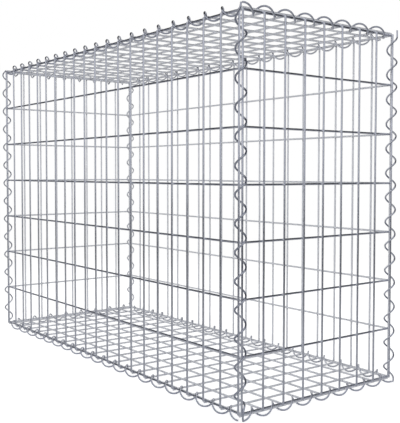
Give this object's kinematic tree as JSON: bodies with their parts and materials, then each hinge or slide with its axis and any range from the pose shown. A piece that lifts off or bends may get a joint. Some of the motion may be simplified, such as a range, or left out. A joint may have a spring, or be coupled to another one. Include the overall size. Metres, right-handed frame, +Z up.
{
  "type": "gabion basket",
  "caption": "Empty welded-mesh gabion basket, closed on all six sides and laced along every edge with wire spirals.",
  "frame": {"origin": "centre of the footprint, on the ground that the lowest spiral turns stand on", "axes": "+X along the basket's length, +Y from the front panel to the back panel, +Z up"},
  "size_m": [1.028, 0.4266, 0.7269],
  "materials": {
    "mesh_wire": "galvanised, satin grey with a faint blue cast, dull along the welds",
    "spiral_wire": "galvanised spring wire, satin grey"
  },
  "bodies": {
    "root": {"front_panel": "mesh_wire", "back_panel": "mesh_wire", "left_end_panel": "mesh_wire", "right_end_panel": "mesh_wire", "lid_panel": "mesh_wire", "base_panel": "mesh_wire", "spiral_front_left": "spiral_wire", "spiral_front_right": "spiral_wire", "spiral_back_left": "spiral_wire", "spiral_back_right": "spiral_wire", "spiral_front_bottom": "spiral_wire", "spiral_back_bottom": "spiral_wire", "spiral_left_bottom": "spiral_wire", "spiral_right_bottom": "spiral_wire", "spiral_front_top": "spiral_wire", "spiral_back_top": "spiral_wire", "spiral_left_top": "spiral_wire", "spiral_right_top": "spiral_wire"}
  },
  "joints": []
}
